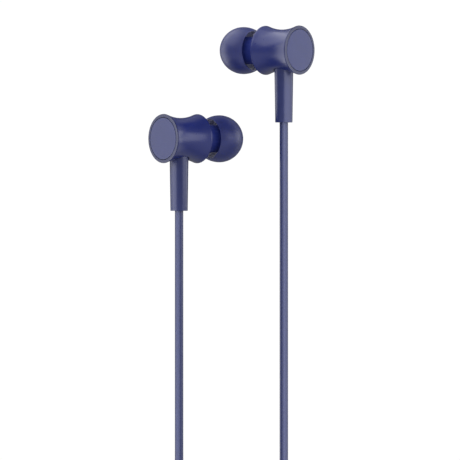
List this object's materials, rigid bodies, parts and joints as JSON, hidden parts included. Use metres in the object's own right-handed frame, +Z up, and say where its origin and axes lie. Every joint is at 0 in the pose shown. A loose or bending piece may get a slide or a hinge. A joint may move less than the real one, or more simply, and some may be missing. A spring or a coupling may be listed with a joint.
{
  "type": "neckband earphones",
  "caption": "In-ear buds with spool-shaped housings on thin cords, joined by a springy neckband with a control pod and a battery pod.",
  "frame": {"origin": "centre of the right ear tip's mouth, where the ear holds it", "axes": "+Z up along the hanging cords, +Y forward into the ears, +X towards the right bud's outer side"},
  "size_m": [0.13, 0.0222, 0.4056],
  "materials": {
    "shell": "satin moulded plastic, dark blue",
    "cap": "satin, dark blue",
    "silicone": "soft satin silicone, dark blue",
    "cord": "smooth round jacket, dark blue",
    "pod": "satin moulded plastic, dark blue",
    "button": "matte, dark blue",
    "steel": "plain",
    "magnet": "nickel plated",
    "copper": "enamelled winding wire",
    "film": "thin clear film",
    "board": "green solder mask",
    "switch": "black",
    "lens": "clear",
    "cell": "foil pouch"
  },
  "bodies": {
    "earphones": {"bud_shell_left": "shell", "bud_shell_right": "shell", "stem_left": "shell", "stem_right": "shell", "back_cap_left": "cap", "back_cap_right": "cap", "cord_boot_left": "silicone", "cord_boot_right": "silicone", "band_boot_left": "silicone", "band_boot_right": "silicone", "band_sleeve": "silicone", "cord_left": "cord", "cord_right": "cord", "control_pod_shell": "pod", "control_pod_back": "pod", "battery_pod_shell": "pod", "battery_pod_back": "pod", "driver_frame_left": "steel", "driver_frame_right": "steel", "nozzle_mesh_left": "steel", "nozzle_mesh_right": "steel", "radio_module": "steel", "microphone": "steel", "usb_port": "steel", "memory_wire": "steel", "driver_magnet_left": "magnet", "driver_magnet_right": "magnet", "dock_magnet_left": "magnet", "dock_magnet_right": "magnet", "voice_coil_left": "copper", "voice_coil_right": "copper", "diaphragm_left": "film", "diaphragm_right": "film", "circuit_board": "board", "protection_board": "board", "switch_plus": "switch", "switch_play": "switch", "switch_minus": "switch", "light_pipe": "lens", "battery_cell": "cell"},
    "ear_tip_l": {"eartip_left": "silicone"},
    "ear_tip_r": {"eartip_right": "silicone"},
    "plus_button": {"button_plus": "button"},
    "play_button": {"button_play": "button"},
    "minus_button": {"button_minus": "button"},
    "port_cover": {"usb_cover": "silicone"}
  },
  "joints": [
    {"name": "eartip_left_pull", "type": "slide", "parent": "earphones", "child": "ear_tip_l", "axis": [0.788, 0.6157, 0], "range_m": [0, 0.005]},
    {"name": "eartip_right_pull", "type": "slide", "parent": "earphones", "child": "ear_tip_r", "axis": [-0.788, 0.6157, 0], "range_m": [0, 0.005]},
    {"name": "button_plus_press", "type": "slide", "parent": "earphones", "child": "plus_button", "axis": [0, 1, 0], "range_m": [0, 0.00035], "stiffness_N_per_m": 4000},
    {"name": "button_play_press", "type": "slide", "parent": "earphones", "child": "play_button", "axis": [0, 1, 0], "range_m": [0, 0.00035], "stiffness_N_per_m": 4000},
    {"name": "button_minus_press", "type": "slide", "parent": "earphones", "child": "minus_button", "axis": [0, 1, 0], "range_m": [0, 0.00035], "stiffness_N_per_m": 4000},
    {"name": "usb_cover_swing", "type": "hinge", "parent": "earphones", "child": "port_cover", "pos_m": [0.05987, -0.01146, -0.26592], "axis": [0, 1, 0], "range_deg": [0, 100]}
  ]
}
